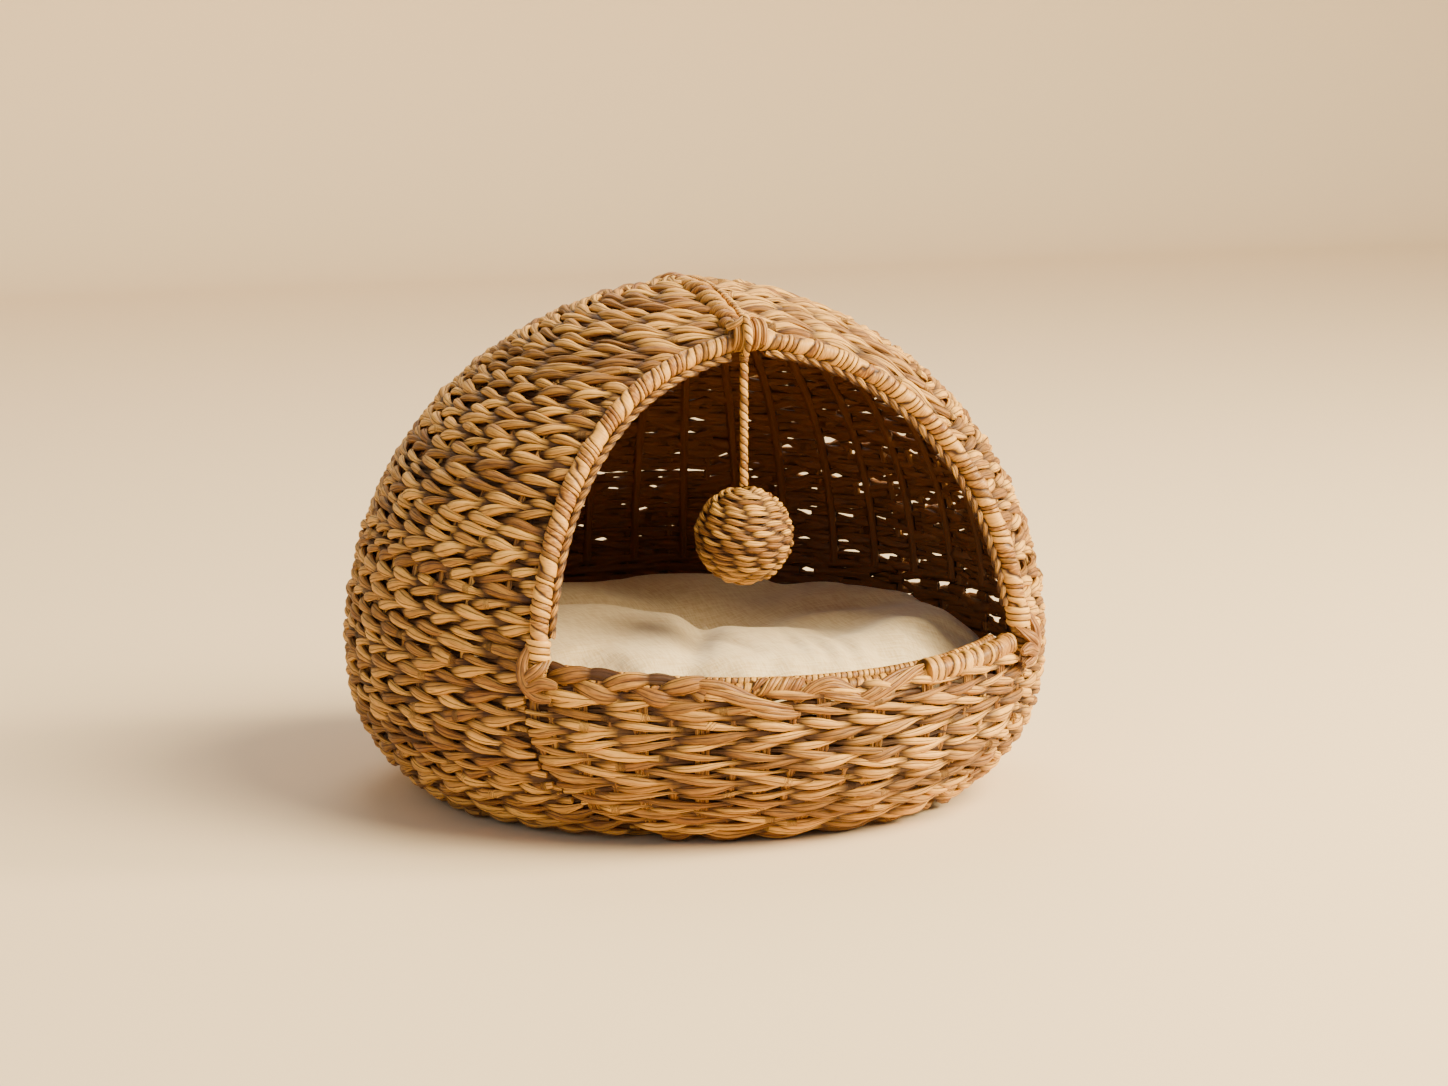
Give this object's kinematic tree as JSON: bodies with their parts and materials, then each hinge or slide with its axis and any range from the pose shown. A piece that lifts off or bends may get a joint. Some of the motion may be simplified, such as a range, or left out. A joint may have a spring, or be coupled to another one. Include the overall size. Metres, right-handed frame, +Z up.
{
  "type": "woven dome cat bed",
  "caption": "Dome-shaped pet bed woven from plant fibre, with an arched mouth, a plaited front rim, a hanging woven toy ball and a round tufted cushion.",
  "frame": {"origin": "middle of the foot, on the surface that the bed stands on", "axes": "+Z up, -Y out of the mouth, +X to the right of someone who faces the mouth"},
  "size_m": [0.5, 0.4998, 0.3673],
  "materials": {
    "weave": "dried plant fibre, hand-woven, satin",
    "hoop_wrap": "wrapped leaf fibre, smooth, low gloss",
    "light_wrap": "pale wrapped leaf fibre, low gloss",
    "twine": "twisted plant twine, matt",
    "linen": "plain slubby linen, matt"
  },
  "bodies": {
    "bed": {"base": "weave", "shell": "weave", "front_panel": "weave", "arch_hoop": "hoop_wrap", "arch_inner_row_left": "weave", "arch_inner_row_right": "weave", "corner_wrap_left": "light_wrap", "corner_wrap_right": "light_wrap", "rim_plait": "hoop_wrap", "rim_band": "light_wrap", "rim_rod": "hoop_wrap", "ridge_rope": "hoop_wrap", "ridge_cord": "light_wrap", "apex_knot": "light_wrap", "toy_loop": "light_wrap", "cushion": "linen"},
    "hitch": {"hitch": "twine"},
    "toy": {"toy_cord": "twine", "toy_ball": "weave"}
  },
  "joints": [
    {"name": "toy_fore_aft", "type": "hinge", "parent": "bed", "child": "hitch", "pos_m": [-0.009, -0.12011, 0.32018], "axis": [1, 0, 0], "range_deg": [-40, 40]},
    {"name": "toy_side", "type": "hinge", "parent": "hitch", "child": "toy", "pos_m": [-0.009, -0.12011, 0.32018], "axis": [0, 1, 0], "range_deg": [-40, 40]}
  ]
}
